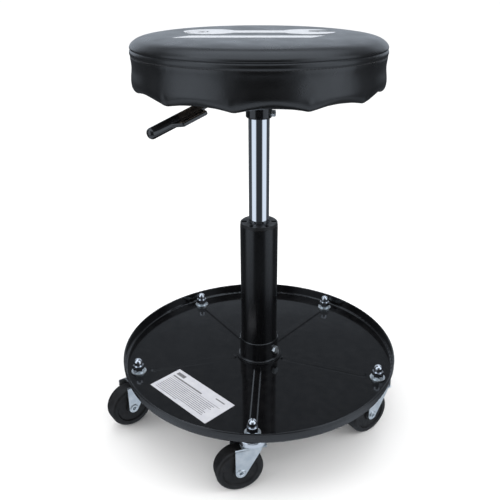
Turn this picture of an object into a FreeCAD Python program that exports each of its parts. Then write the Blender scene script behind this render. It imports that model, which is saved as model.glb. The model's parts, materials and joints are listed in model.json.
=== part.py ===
"""Rolling mechanic's stool: a round padded seat on a gas lift, over a round tool tray on five swivel casters.

Own frame: millimetres, +Z up, origin on the floor under the column's axis, front towards -Y.
Every driving size is a cell of the sheet "Dims"; sketches and features are bound to those cells.
"""
import FreeCAD, Part
import math
import os
import Sketcher

Vector = FreeCAD.Vector
UP = Vector(0, 0, 1)
DOCUMENT = FreeCAD.newDocument("mechanics_creeper")
SHEET = DOCUMENT.addObject("Spreadsheet::Sheet", "Dims")

DIMENSIONS = {
    # tool tray: a pressed dish with a hemmed rim and five radial ribs
    "tray_radius": 203.2, "tray_bottom": 78.4, "tray_rim_top": 95.0, "tray_sheet": 1.2,
    "tray_base_radius": 201.6, "tray_bend": 3.8, "hem_height": 6.0, "tray_centre_hole": 12.0,
    "rib_start": 36.0, "rib_end": 166.0, "rib_width": 11.0, "rib_height": 1.9, "rib_slope": 40.0,
    # column: socket on the tray, outer tube and guide sleeve
    "socket_radius": 28.75, "socket_top": 112.6, "socket_flange_radius": 33.5, "socket_flange": 2.0,
    "column_radius": 26.5, "column_inner": 24.8, "column_top": 293.0, "column_floor": 4.4,
    "sleeve_bottom": 190.0, "sleeve_top": 297.0, "sleeve_flange_radius": 26.1, "sleeve_notches": 6,
    "socket_screw_height": 98.0, "socket_screw_angle": 322.0,
    "crimp_radius": 2.6, "crimp_depth": 0.9, "crimp_drop": 7.0,
    # gas lift: rod and piston hang from the tray, the pressure tube rides with the seat
    "rod_radius": 5.0, "rod_foot_radius": 4.0, "rod_bottom": 75.4, "rod_top": 257.0,
    "clip_radius": 7.5, "clip_thickness": 1.1, "clip_groove": 3.2,
    "thrust_washer": 1.45, "thrust_radius": 11.0, "thrust_ball": 1.5, "thrust_circle": 8.0,
    "thrust_ball_count": 10, "running_gap": 0.05,
    "piston_bottom": 241.3, "piston_height": 12.0, "piston_radius": 12.44,
    "tube_radius": 14.0, "tube_inner": 12.5, "tube_bottom": 222.0, "tube_top": 460.0,
    "guide_height": 12.0, "seal_height": 4.5, "valve_height": 24.0,
    "pin_radius": 3.0, "pin_top": 466.5, "pin_length": 36.0,
    # seat mechanism: collar on the tube, stamped plate, lever and pivot
    "collar_radius": 17.25, "collar_bottom": 442.0, "collar_bevel": 1.6,
    "clamp_screw_height": 448.5, "clamp_screw_angle": 345.0,
    "plate_top": 482.0, "plate_sheet": 3.0, "plate_size": 120.0, "plate_corner": 14.0, "plate_lip": 8.0,
    "lever_angle": 218.0, "lever_height": 470.3, "lever_radius": 3.5, "lever_tip": 6.0,
    "lever_pivot": 28.0, "pivot_radius": 2.5, "lever_bend_start": 68.0, "lever_bend_radius": 30.0,
    "lever_slope": 17.0, "lever_rod_end": 122.0,
    "handle_start": 90.0, "handle_length": 76.0, "handle_radius": 7.0, "handle_bore": 36.0,
    "wing_width": 20.0, "wing_outer_end": 37.0, "wing_inner_end": 47.0, "wing_thickness": 5.0, "wing_dish": 1.6,
    # seat: plywood board, foam and cover
    "board_radius": 146.0, "board_thickness": 12.0, "seat_top": 545.0, "seat_radius": 159.4,
    "seat_side": 158.8, "cover_thickness": 1.2, "cover_return": 120.0, "crown_flat_radius": 100.0,
    "roll_radius": 8.0, "roll_drop": 15.0, "roll_low_angle": 40.0, "roll_high_angle": 75.0,
    "crown_radius": 200.0, "band_radius": 130.0,
    "seat_bolt_spacing": 90.0, "staple_circle": 129.0, "staple_count": 24,
    # casters: five stems on one circle
    "caster_count": 5, "bolt_circle": 182.6, "first_stem_angle": 51.4,
    "swivel_back_right": 208.0, "swivel_back_left": 203.0, "swivel_left": 217.3,
    "swivel_front": 197.6, "swivel_right": 215.7,
    "wheel_radius": 31.75, "wheel_width": 22.4, "wheel_shoulder": 4.5, "hub_radius": 9.5, "hub_width": 24.4,
    "bushing_radius": 6.0, "axle_radius": 4.0, "axle_head": 6.0, "caster_trail": 19.5,
    "fork_plate_bottom": 66.0, "fork_sheet": 2.5, "fork_inner": 25.5, "fork_side": 2.0,
    "fork_front": 15.0, "leg_top_start": 8.0, "leg_end_radius": 7.25, "leg_flank_angle": 210.6,
    "fork_race_radius": 17.0, "fork_race_height": 2.2, "fork_notch_start": 17.5,
    "race_radius": 19.4, "race_sheet": 1.7, "race_plate": 3.5, "race_skirt": 6.8,
    "swivel_ball": 2.0, "swivel_circle": 12.5, "swivel_ball_count": 12,
    "kingpin_radius": 4.0, "kingpin_head": 6.2, "stem_radius": 4.75,
    "washer_radius": 10.8, "washer_thickness": 1.6, "lock_washer_radius": 8.2, "lock_washer_thickness": 2.4,
    "nut_flats": 14.3, "nut_hex_height": 7.6, "nut_dome_radius": 5.9, "nut_total": 18.0,
}
# one caster per stem, counter-clockwise from the first stem angle
CASTERS = ["back_right", "back_left", "left", "front", "right"]


class Size:
    """A length or count together with the sheet expression that gives it."""

    def __init__(self, value, text):
        self.value = value
        self.text = text

    def __add__(self, other):
        other = as_size(other)
        return Size(self.value + other.value, f"({self.text} + {other.text})")

    def __sub__(self, other):
        other = as_size(other)
        return Size(self.value - other.value, f"({self.text} - {other.text})")

    def __mul__(self, other):
        other = as_size(other)
        return Size(self.value * other.value, f"({self.text} * {other.text})")

    def __truediv__(self, other):
        other = as_size(other)
        return Size(self.value / other.value, f"({self.text} / {other.text})")

    def __neg__(self):
        return Size(-self.value, f"(0 - {self.text})")

    def __radd__(self, other):
        return as_size(other) + self

    def __rsub__(self, other):
        return as_size(other) - self

    def __rmul__(self, other):
        return as_size(other) * self


def as_size(number):
    return number if isinstance(number, Size) else Size(number, f"{number:.12g}")


def cosine(degrees):
    return Size(math.cos(math.radians(degrees.value)), f"cos({degrees.text} * 1 deg)")


def sine(degrees):
    return Size(math.sin(math.radians(degrees.value)), f"sin({degrees.text} * 1 deg)")


class Dims:
    """The sheet's cells, each a Size under its alias."""


def fill_sheet():
    dims = Dims()
    for row, (alias, number) in enumerate(DIMENSIONS.items(), start=1):
        SHEET.set(f"A{row}", alias)
        SHEET.set(f"B{row}", str(number))
        SHEET.setAlias(f"B{row}", alias)
        setattr(dims, alias, Size(number, f"Dims.{alias}"))
    return dims


D = fill_sheet()
DOCUMENT.recompute()
ZERO = as_size(0)


# --- sketches and features -------------------------------------------------------------------

def new_body(label):
    body = DOCUMENT.addObject("PartDesign::Body", label)
    body.Label = label
    return body


def origin_part(body, role):
    return next(item for item in body.Origin.OriginFeatures if item.Role == role)


def new_sketch(body, plane="XZ_Plane", shift=(0, 0, 0)):
    """An empty sketch on one of the body's own planes, moved by shift in the sketch's own x, y, normal."""
    sketch = body.newObject("Sketcher::SketchObject", "Sketch")
    sketch.AttachmentSupport = [(origin_part(body, plane), "")]
    sketch.MapMode = "FlatFace"
    for axis, amount in zip("xyz", shift):
        amount = as_size(amount)
        if amount.value:
            sketch.setExpression(f".AttachmentOffset.Base.{axis}", amount.text)
    return sketch


def hold_point(sketch, geometry, end, x, y):
    """Hold one end point of a piece of geometry at x, y."""
    for kind, axis, size in (("DistanceX", -2, x), ("DistanceY", -1, y)):
        if size.value == 0:
            sketch.addConstraint(Sketcher.Constraint("PointOnObject", geometry, end, axis))
            continue
        index = sketch.addConstraint(Sketcher.Constraint(kind, -1, 1, geometry, end, size.value))
        sketch.setExpression(f"Constraints[{index}]", size.text)


def arc_centre(start, end, radius, turn):
    """Centre of the arc from start to end that turns left (turn 1) or right (turn -1)."""
    middle = (start + end) * 0.5
    chord = end - start
    height = math.sqrt(max(radius ** 2 - (chord.Length / 2) ** 2, 0))
    return middle + Vector(-chord.y, chord.x, 0).normalize() * height * turn


def draw_outline(sketch, items):
    """A closed outline of points (x, y) and arcs ("left" or "right", radius) between them."""
    corners = [tuple(as_size(size) for size in item) for item in items if item[0] not in ("left", "right")]
    bends = []
    for item in items:
        if item[0] in ("left", "right"):
            bends[-1] = item
        else:
            bends.append(None)
    spots = [Vector(x.value, y.value, 0) for x, y in corners]
    ends = []
    for index, bend in enumerate(bends):
        start, end = spots[index], spots[(index + 1) % len(spots)]
        if bend is None:
            geometry = sketch.addGeometry(Part.LineSegment(start, end), False)
            ends.append((geometry, 1, 2))
            continue
        turn = 1 if bend[0] == "left" else -1
        radius = as_size(bend[1])
        centre = arc_centre(start, end, radius.value, turn)
        first, last = (start, end) if turn == 1 else (end, start)
        first_angle = math.atan2(first.y - centre.y, first.x - centre.x)
        last_angle = math.atan2(last.y - centre.y, last.x - centre.x)
        if last_angle < first_angle:
            last_angle += 2 * math.pi
        arc = Part.ArcOfCircle(Part.Circle(centre, UP, radius.value), first_angle, last_angle)
        geometry = sketch.addGeometry(arc, False)
        ends.append((geometry, 1, 2) if turn == 1 else (geometry, 2, 1))
        held = sketch.addConstraint(Sketcher.Constraint("Radius", geometry, radius.value))
        sketch.setExpression(f"Constraints[{held}]", radius.text)
    for index, (x, y) in enumerate(corners):
        geometry, start_end, _ = ends[index]
        before, _, before_end = ends[index - 1]
        sketch.addConstraint(Sketcher.Constraint("Coincident", before, before_end, geometry, start_end))
        hold_point(sketch, geometry, start_end, x, y)


def draw_circle(sketch, x, y, radius):
    x, y, radius = as_size(x), as_size(y), as_size(radius)
    geometry = sketch.addGeometry(Part.Circle(Vector(x.value, y.value, 0), UP, radius.value), False)
    hold_point(sketch, geometry, 3, x, y)
    held = sketch.addConstraint(Sketcher.Constraint("Radius", geometry, radius.value))
    sketch.setExpression(f"Constraints[{held}]", radius.text)


def draw_rectangle(sketch, left, bottom, right, top):
    draw_outline(sketch, [(left, bottom), (right, bottom), (right, top), (left, top)])


def draw_hexagon(sketch, across_flats, x=0, y=0):
    """A regular hexagon with two corners on the sketch's x direction."""
    corner = across_flats / (math.sqrt(3))
    points = []
    for step in range(6):
        angle = math.radians(60 * step)
        points.append((corner * math.cos(angle) + x, corner * math.sin(angle) + y))
    draw_outline(sketch, points)


def add_feature(body, kind, sketch):
    feature = body.newObject(f"PartDesign::{kind}", kind)
    feature.Profile = sketch
    return feature


def pad(body, sketch, length, middle=False, downwards=False, taper=None):
    feature = add_feature(body, "Pad", sketch)
    feature.setExpression("Length", as_size(length).text)
    feature.Midplane = middle
    feature.Reversed = downwards
    if taper is not None:
        feature.setExpression("TaperAngle", as_size(taper).text)
    return feature


def pocket(body, sketch, depth, middle=False, forwards=False, taper=None):
    """Cut against the sketch's normal, or along it with forwards."""
    feature = add_feature(body, "Pocket", sketch)
    feature.setExpression("Length", as_size(depth).text)
    feature.Midplane = middle
    feature.Reversed = forwards
    if taper is not None:
        feature.setExpression("TaperAngle", as_size(taper).text)
    return feature


def revolve(body, sketch, kind="Revolution"):
    feature = add_feature(body, kind, sketch)
    feature.ReferenceAxis = (sketch, ["V_Axis"])
    feature.Angle = 360
    return feature


def repeat_round(body, features, count):
    """Repeat features round the body's Z axis; the copies may be separate solids."""
    pattern = body.newObject("PartDesign::PolarPattern", "PolarPattern")
    pattern.Originals = features
    pattern.Axis = (origin_part(body, "Z_Axis"), [""])
    pattern.Angle = 360
    pattern.setExpression("Occurrences", as_size(count).text)
    body.Tip = pattern
    return pattern


def round_edges(body, radius, wanted, kind="Fillet"):
    """Fillet or chamfer the edges of the body so far that wanted(edge) picks."""
    DOCUMENT.recompute()
    base = body.Tip
    names = [f"Edge{n}" for n, edge in enumerate(base.Shape.Edges, start=1) if wanted(edge)]
    feature = body.newObject(f"PartDesign::{kind}", kind)
    feature.Base = (base, names)
    feature.setExpression("Radius" if kind == "Fillet" else "Size", as_size(radius).text)
    return feature


def turned(label, outline, shift=0):
    """A body turned from one outline of (radius, height) about an axis at x = shift."""
    body = new_body(label)
    sketch = new_sketch(body, "XZ_Plane", (shift, 0, 0))
    draw_outline(sketch, outline)
    revolve(body, sketch)
    return body


def ring(label, inner, outer, bottom, top, shift=0):
    return turned(label, [(inner, bottom), (outer, bottom), (outer, top), (inner, top)], shift)


def place(body, x=0.0, y=0.0, z=0.0, rotation=None):
    body.Placement = FreeCAD.Placement(Vector(x, y, z), rotation or FreeCAD.Rotation())


def spin(angle):
    return FreeCAD.Rotation(UP, angle)


# --- base: tray, column and stem fasteners ------------------------------------------------------

FLOOR_TOP = D.tray_bottom + D.tray_sheet
STACK_TOP = FLOOR_TOP + D.washer_thickness + D.lock_washer_thickness


def make_tool_tray():
    body = new_body("tool_tray")
    wall = D.tray_radius - D.tray_sheet
    flat_end = D.tray_base_radius - D.tray_bend
    bend_top = D.tray_bottom + D.tray_bend
    hem_bottom = D.tray_rim_top - D.hem_height
    hem_round = D.tray_rim_top - D.tray_sheet
    sketch = new_sketch(body)
    draw_outline(sketch, [
        (D.tray_centre_hole, D.tray_bottom), (flat_end, D.tray_bottom),
        ("left", D.tray_bend), (D.tray_base_radius, bend_top),
        (wall, hem_bottom), (D.tray_radius, hem_bottom), (D.tray_radius, hem_round),
        ("left", D.tray_sheet), (wall, D.tray_rim_top),
        ("left", D.tray_sheet), (wall - D.tray_sheet, hem_round),
        (D.tray_base_radius - D.tray_sheet, bend_top),
        ("right", D.tray_bend - D.tray_sheet), (flat_end, FLOOR_TOP), (D.tray_centre_hole, FLOOR_TOP)])
    revolve(body, sketch)

    def rib_outline(plane_height, narrower):
        half = D.rib_width / 2 - narrower
        nose = half * 0.6
        first, last = D.rib_start + narrower, D.rib_end - narrower
        rib = new_sketch(body, "XY_Plane", (0, 0, plane_height))
        draw_outline(rib, [
            (first, -nose), (first + nose, -half), (last - nose, -half), (last, -nose),
            (last, nose), (last - nose, half), (first + nose, half), (first, nose)])
        return rib

    raised = pad(body, rib_outline(FLOOR_TOP, 0), D.rib_height, taper=-D.rib_slope)
    hollow = pocket(body, rib_outline(D.tray_bottom, 0.9), D.rib_height, forwards=True, taper=-D.rib_slope)
    repeat_round(body, [raised, hollow], D.caster_count)
    holes = new_sketch(body, "XY_Plane", (0, 0, D.tray_bottom))
    draw_circle(holes, D.bolt_circle, 0, D.stem_radius + 0.25)
    hole = pocket(body, holes, D.tray_sheet * 2, forwards=True)
    repeat_round(body, [hole], D.caster_count)
    place(body, rotation=spin(D.first_stem_angle.value))
    return body


def make_column_socket():
    bore = D.column_radius + 0.1
    weld = 2.6
    body = turned("column_socket", [
        (bore, FLOOR_TOP), (D.socket_flange_radius, FLOOR_TOP),
        (D.socket_flange_radius, FLOOR_TOP + D.socket_flange),
        (D.socket_radius + weld, FLOOR_TOP + D.socket_flange),
        ("right", weld), (D.socket_radius, FLOOR_TOP + D.socket_flange + weld),
        (D.socket_radius, D.socket_top - 0.8), (D.socket_radius - 0.8, D.socket_top), (bore, D.socket_top)])
    sketch = new_sketch(body, "YZ_Plane")
    draw_circle(sketch, 0, D.socket_screw_height, 3.05)
    pocket(body, sketch, D.socket_radius * 3, middle=True)
    place(body, rotation=spin(D.socket_screw_angle.value))
    return body


def radial_hex_screws(label, thread, flats, tip, seat, head, height, count):
    """Hex screws that point at the Z axis: shank from tip to seat, head beyond it."""
    body = new_body(label)
    shank_sketch = new_sketch(body, "YZ_Plane", (0, 0, tip))
    draw_circle(shank_sketch, 0, height, thread)
    shank = pad(body, shank_sketch, seat - tip + 0.5)
    head_sketch = new_sketch(body, "YZ_Plane", (0, 0, seat))
    draw_hexagon(head_sketch, as_size(flats), 0, height)
    features = [shank, pad(body, head_sketch, head)]
    if count > 1:
        repeat_round(body, features, count)
    return body


def make_socket_screws():
    body = radial_hex_screws("socket_screws", thread=3.0, flats=10.0, tip=D.column_radius + 0.05,
                             seat=D.socket_radius + 0.05, head=4.2, height=D.socket_screw_height, count=2)
    place(body, rotation=spin(D.socket_screw_angle.value))
    return body


def make_gas_lift_housing():
    hole = D.rod_foot_radius + 0.1
    body = turned("gas_lift_housing", [
        (hole, FLOOR_TOP), (D.column_radius - 1, FLOOR_TOP), (D.column_radius, FLOOR_TOP + 1),
        (D.column_radius, D.column_top - 0.6), (D.column_radius - 0.6, D.column_top),
        (D.column_inner, D.column_top), (D.column_inner, FLOOR_TOP + D.column_floor),
        (hole, FLOOR_TOP + D.column_floor)])
    sketch = new_sketch(body, "XZ_Plane", (0, 0, D.column_radius - D.crimp_depth))
    draw_circle(sketch, 0, D.column_top - D.crimp_drop, D.crimp_radius)
    crimp = pocket(body, sketch, D.crimp_depth * 4, forwards=True)
    repeat_round(body, [crimp], 3)
    return body


def make_guide_sleeve():
    bore = D.tube_radius + 0.06
    body = turned("guide_sleeve", [
        (bore, D.sleeve_bottom), (D.column_inner - 0.05, D.sleeve_bottom),
        (D.column_inner - 0.05, D.column_top), (D.sleeve_flange_radius, D.column_top),
        (D.sleeve_flange_radius, D.sleeve_top - 0.8), (D.sleeve_flange_radius - 0.8, D.sleeve_top),
        (bore + 1.2, D.sleeve_top), (bore, D.sleeve_top - 1.2)])
    sketch = new_sketch(body, "XY_Plane", (0, 0, D.sleeve_top))
    draw_rectangle(sketch, bore + 3, -2.5, D.sleeve_flange_radius - 2.4, 2.5)
    notch = pocket(body, sketch, 5.0)
    repeat_round(body, [notch], D.sleeve_notches)
    return body


def make_stem_fasteners():
    """Washers and cap nuts, one set on each stem; each kind is one group of separate solids."""
    flat = ring("flat_washers", D.stem_radius + 0.2, D.washer_radius,
                FLOOR_TOP, FLOOR_TOP + D.washer_thickness, D.bolt_circle)
    lock = ring("lock_washers", D.stem_radius + 0.3, D.lock_washer_radius,
                FLOOR_TOP + D.washer_thickness, STACK_TOP, D.bolt_circle)
    split = new_sketch(lock, "XY_Plane", (0, 0, STACK_TOP))
    draw_outline(split, [
        (D.bolt_circle + 2, 0.4), (D.bolt_circle + 12, 2.4), (D.bolt_circle + 12, 4.0), (D.bolt_circle + 2, 2.0)])
    gap = pocket(lock, split, D.lock_washer_thickness * 2)
    repeat_round(flat, [flat.Tip], D.caster_count)
    repeat_round(lock, [lock.Group[1], gap], D.caster_count)

    nuts = new_body("cap_nuts")
    hexagon = new_sketch(nuts, "XY_Plane", (D.bolt_circle, 0, STACK_TOP))
    draw_hexagon(hexagon, D.nut_flats)
    prism = pad(nuts, hexagon, D.nut_hex_height)
    dome_top = STACK_TOP + D.nut_total
    hex_top = STACK_TOP + D.nut_hex_height
    dome_sketch = new_sketch(nuts, "XZ_Plane", (D.bolt_circle, 0, 0))
    draw_outline(dome_sketch, [
        (0, hex_top - 1), (D.nut_flats / 2 - 0.4, hex_top - 1), (D.nut_flats / 2 - 0.6, hex_top + 0.6),
        (D.nut_dome_radius, hex_top + 0.6), (D.nut_dome_radius, dome_top - D.nut_dome_radius),
        ("left", D.nut_dome_radius), (0, dome_top)])
    dome = revolve(nuts, dome_sketch)
    bore_sketch = new_sketch(nuts, "XZ_Plane", (D.bolt_circle, 0, 0))
    draw_outline(bore_sketch, [
        (0, STACK_TOP - 1), (D.stem_radius + 0.05, STACK_TOP - 1),
        (D.stem_radius + 0.05, dome_top - D.nut_dome_radius), (0, dome_top - 3)])
    bore = revolve(nuts, bore_sketch, "Groove")
    repeat_round(nuts, [prism, dome, bore], D.caster_count)

    for body in (flat, lock, nuts):
        place(body, rotation=spin(D.first_stem_angle.value))
    return [flat, lock, nuts]


def make_caster_stems():
    """Threaded stems with the kingpin that the fork turns on, riveted over below the fork."""
    kingpin_top = D.fork_plate_bottom + 8.2
    stem_top = STACK_TOP + 11.0
    body = turned("caster_stems", [
        (0, D.fork_plate_bottom - 2.8), (D.kingpin_head - 1, D.fork_plate_bottom - 2.8),
        (D.kingpin_head, D.fork_plate_bottom - 1.6), (D.kingpin_head, D.fork_plate_bottom - 0.3),
        (D.kingpin_radius, D.fork_plate_bottom - 0.3), (D.kingpin_radius, kingpin_top),
        (D.stem_radius, kingpin_top), (D.stem_radius, stem_top - 1),
        (D.stem_radius - 1, stem_top), (0, stem_top)], D.bolt_circle)
    repeat_round(body, [body.Tip], D.caster_count)
    place(body, rotation=spin(D.first_stem_angle.value))
    return body


# --- casters ---------------------------------------------------------------------------------------

def stem_spot(index):
    angle = math.radians(D.first_stem_angle.value + index * 360 / D.caster_count.value)
    return Vector(math.cos(angle), math.sin(angle), 0) * D.bolt_circle.value


def make_race(name, spot):
    """Upper swivel race: a pressed cup under the tray whose skirt hides the balls."""
    top, bore = D.tray_bottom, D.stem_radius + 0.1
    inner_skirt = D.race_radius - D.race_sheet
    body = turned(f"race_{name}", [
        (bore, top - D.race_plate), (inner_skirt, top - D.race_plate), (inner_skirt, top - D.race_skirt),
        (D.race_radius, top - D.race_skirt), (D.race_radius, top - 1.4),
        ("left", 1.4), (D.race_radius - 1.4, top), (bore, top)])
    place(body, spot.x, spot.y)
    return body


def make_fork(name, spot, yaw):
    """Zinc plated fork: its trail points along local +x, the kingpin hole is on local Z."""
    body = new_body(f"fork_{name}")
    top = D.fork_plate_bottom + D.fork_sheet
    back = D.caster_trail + D.leg_end_radius
    side = new_sketch(body, "XZ_Plane")
    draw_outline(side, [
        (-D.fork_front, top), (-D.fork_front, D.fork_plate_bottom), (-D.leg_top_start, D.fork_plate_bottom),
        (-D.leg_top_start, D.fork_plate_bottom - 2),
        (D.caster_trail + D.leg_end_radius * cosine(D.leg_flank_angle),
         D.wheel_radius + D.leg_end_radius * sine(D.leg_flank_angle)),
        ("left", D.leg_end_radius), (D.caster_trail, D.wheel_radius - D.leg_end_radius),
        ("left", D.leg_end_radius), (back, D.wheel_radius), (back, top)])
    width = D.fork_inner + D.fork_side * 2
    pad(body, side, width, middle=True)
    slot = new_sketch(body, "YZ_Plane")
    half, bend = D.fork_inner / 2, 1.5
    draw_outline(slot, [
        (-half, 0), (half, 0), (half, D.fork_plate_bottom - bend), ("left", bend),
        (half - bend, D.fork_plate_bottom), (bend - half, D.fork_plate_bottom),
        ("left", bend), (-half, D.fork_plate_bottom - bend)])
    pocket(body, slot, D.bolt_circle, middle=True)

    def outer_bend(edge):
        box = edge.BoundBox
        return (abs(abs(box.YMin) - width.value / 2) < 0.01 and box.YLength < 0.01
                and abs(box.ZMin - top.value) < 0.01 and box.ZLength < 0.01)

    round_edges(body, 2.6, outer_bend)
    race = new_sketch(body, "XZ_Plane")
    race_top = top + D.fork_race_height
    draw_outline(race, [
        (0, top - 2), (D.fork_race_radius, top - 2), (D.fork_race_radius, race_top - 0.8),
        (D.fork_race_radius - 0.8, race_top), (0, race_top)])
    revolve(body, race)
    notch = new_sketch(body, "XY_Plane", (0, 0, top))
    draw_rectangle(notch, D.fork_notch_start, -half, back + 1, half)
    pocket(body, notch, D.fork_sheet * 2)
    kingpin = new_sketch(body, "XY_Plane")
    draw_circle(kingpin, 0, 0, D.kingpin_radius + 0.1)
    pocket(body, kingpin, D.tray_bottom, forwards=True)
    axle = new_sketch(body, "XZ_Plane")
    draw_circle(axle, D.caster_trail, D.wheel_radius, D.axle_radius + 0.04)
    pocket(body, axle, width * 2, middle=True)
    place(body, spot.x, spot.y, 0, spin(yaw))
    return body


def place_on_axle(body, spot, yaw):
    """Put a piece turned about its own Z on the caster's axle."""
    centre = spot + spin(yaw).multVec(Vector(D.caster_trail.value, 0, 0))
    place(body, centre.x, centre.y, D.wheel_radius.value, spin(yaw) * FreeCAD.Rotation(Vector(1, 0, 0), 90))


def mirrored_outline(half_outline):
    """Close an outline given for the upper half (height > 0) with its mirror image below."""
    lower = []
    for item in reversed(half_outline):
        if item[0] in ("left", "right"):
            lower.append(item)
        else:
            lower.append((item[0], -as_size(item[1])))
    return lower + list(half_outline)


def make_axle(name, spot, yaw):
    """Hollow ended rivet through both legs, with an upset head on each side."""
    leg = D.fork_inner / 2 + D.fork_side + 0.03
    upper = [(D.axle_radius, leg), (D.axle_head, leg), (D.axle_head, leg + 0.6), (D.axle_head - 0.8, leg + 1.4),
             (2.9, leg + 1.4), (2.4, leg + 0.6), (2.4, leg - 3), (0, leg - 4)]
    body = turned(f"axle_{name}", mirrored_outline(upper))
    place_on_axle(body, spot, yaw)
    return body


def make_bushing(name, spot, yaw):
    half = D.fork_inner / 2 - 0.08
    body = ring(f"bushing_{name}", D.axle_radius + D.running_gap, D.bushing_radius, -half, half)
    place_on_axle(body, spot, yaw)
    return body


def make_wheel(name, spot, yaw):
    """Solid rubber wheel: flat tread, round shoulders, dished sides and a raised hub."""
    half, hub = D.wheel_width / 2, D.hub_width / 2
    rim_inner = D.wheel_radius - D.wheel_shoulder - 3.5
    web = half - 1.8
    upper = [(D.wheel_radius, half - D.wheel_shoulder), ("left", D.wheel_shoulder),
             (D.wheel_radius - D.wheel_shoulder, half), (rim_inner, half), (rim_inner - 1.4, web),
             (D.hub_radius + 0.8, web), (D.hub_radius, hub), (D.bushing_radius + 0.02, hub)]
    body = turned(f"wheel_{name}", mirrored_outline(upper))
    place_on_axle(body, spot, yaw)
    return body


def make_casters():
    bodies = []
    for index, name in enumerate(CASTERS):
        spot = stem_spot(index)
        yaw = getattr(D, f"swivel_{name}").value
        bodies.append(make_race(name, spot))
        for make in (make_fork, make_axle, make_bushing, make_wheel):
            bodies.append(make(name, spot, yaw))
    return bodies


def make_balls(label, centres, count, circle, height, radius):
    """Rings of bearing balls: one group of separate spheres round each centre."""
    balls = []
    for centre in centres:
        for step in range(count):
            angle = 2 * math.pi * step / count
            spot = centre + Vector(math.cos(angle) * circle, math.sin(angle) * circle, height)
            balls.append(Part.makeSphere(radius, spot))
    group = DOCUMENT.addObject("Part::Feature", label)
    group.Label = label
    group.Shape = Part.makeCompound(balls)
    return group


def make_swivel_balls():
    centres = [stem_spot(index) for index in range(D.caster_count.value)]
    height = (D.tray_bottom - D.race_plate).value - D.swivel_ball.value - 0.1
    return make_balls("swivel_balls", centres, D.swivel_ball_count.value,
                      D.swivel_circle.value, height, D.swivel_ball.value)


# --- gas lift --------------------------------------------------------------------------------------

BEARING_BOTTOM = FLOOR_TOP + D.column_floor
BALL_BOTTOM = BEARING_BOTTOM + D.thrust_washer
UPPER_WASHER = BALL_BOTTOM + D.thrust_ball * 2 + 0.1
SHOULDER = UPPER_WASHER + D.thrust_washer + D.running_gap
CLIP_TOP = FLOOR_TOP - 0.2


def make_thrust_bearing():
    washers = new_body("thrust_washers")
    features = []
    for bottom in (BEARING_BOTTOM, UPPER_WASHER):
        sketch = new_sketch(washers, "XY_Plane", (0, 0, bottom))
        draw_circle(sketch, 0, 0, D.thrust_radius)
        draw_circle(sketch, 0, 0, D.rod_foot_radius + 0.1)
        features.append(pad(washers, sketch, D.thrust_washer))
    height = (BALL_BOTTOM + D.thrust_ball + 0.05).value
    balls = make_balls("thrust_balls", [Vector()], D.thrust_ball_count.value,
                       D.thrust_circle.value, height, D.thrust_ball.value)
    return [washers, balls]


def make_piston_rod():
    groove_bottom = CLIP_TOP - D.clip_thickness - 0.1
    neck = D.rod_radius - 1
    return turned("piston_rod", [
        (0, D.rod_bottom), (D.rod_foot_radius - 0.6, D.rod_bottom), (D.rod_foot_radius, D.rod_bottom + 0.6),
        (D.rod_foot_radius, groove_bottom), (D.clip_groove, groove_bottom), (D.clip_groove, CLIP_TOP + 0.1),
        (D.rod_foot_radius, CLIP_TOP + 0.1), (D.rod_foot_radius, SHOULDER), (D.rod_radius, SHOULDER),
        (D.rod_radius, D.piston_bottom - 0.05), (neck, D.piston_bottom - 0.05), (neck, D.rod_top - 1),
        (neck - 1, D.rod_top), (0, D.rod_top)])


def make_retaining_clip():
    body = ring("retaining_clip", D.clip_groove + 0.05, D.clip_radius, CLIP_TOP - D.clip_thickness, CLIP_TOP)
    sketch = new_sketch(body, "XY_Plane", (0, 0, CLIP_TOP))
    draw_rectangle(sketch, 1, -2.6, D.clip_radius + 2, 2.6)
    pocket(body, sketch, D.clip_thickness * 2)
    return body


def make_piston():
    groove = D.piston_radius - 1.8
    middle = D.piston_bottom + D.piston_height / 2
    top = D.piston_bottom + D.piston_height
    bore = D.rod_radius - 0.96
    piston = turned("piston", [
        (bore, D.piston_bottom), (D.piston_radius, D.piston_bottom), (D.piston_radius, middle - 1.5),
        (groove, middle - 1.5), (groove, middle + 1.5), (D.piston_radius, middle + 1.5),
        (D.piston_radius, top), (bore, top)])
    seal = ring("piston_seal", groove + 0.05, D.piston_radius + 0.03, middle - 1.4, middle + 1.4)
    return [piston, seal]


def make_pressure_tube():
    """Chromed tube, rolled in at its lower end, with the rod guide, seal and valve housing inside it."""
    lip = D.tube_inner - 1.2
    guide_bottom = D.tube_bottom + 1.6
    seal_bottom = guide_bottom + D.guide_height + 0.05
    valve_bottom = D.tube_top - D.valve_height
    fit = D.tube_inner - 0.03
    rod_bore = D.rod_radius + 0.06
    tube = turned("pressure_tube", [
        (lip, D.tube_bottom), (D.tube_radius - 1.5, D.tube_bottom), ("left", 1.5),
        (D.tube_radius, D.tube_bottom + 1.5), (D.tube_radius, D.tube_top - 1), (D.tube_radius - 1, D.tube_top),
        (D.tube_inner, D.tube_top), (D.tube_inner, guide_bottom - 0.05), (lip, guide_bottom - 0.05)])
    guide = ring("rod_guide", rod_bore, fit, guide_bottom, guide_bottom + D.guide_height)
    seal = turned("rod_seal", [
        (rod_bore, seal_bottom), (fit, seal_bottom), (fit, seal_bottom + D.seal_height),
        (rod_bore + 3, seal_bottom + D.seal_height), (rod_bore + 1.6, seal_bottom + 1.5),
        (rod_bore, seal_bottom + D.seal_height - 1)])
    valve = turned("valve_housing", [
        (D.pin_radius + D.running_gap, valve_bottom), (fit - 1, valve_bottom), (fit, valve_bottom + 1),
        (fit, D.tube_top - 0.5), (D.pin_radius + D.running_gap, D.tube_top - 0.5)])
    return [tube, guide, seal, valve]


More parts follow.
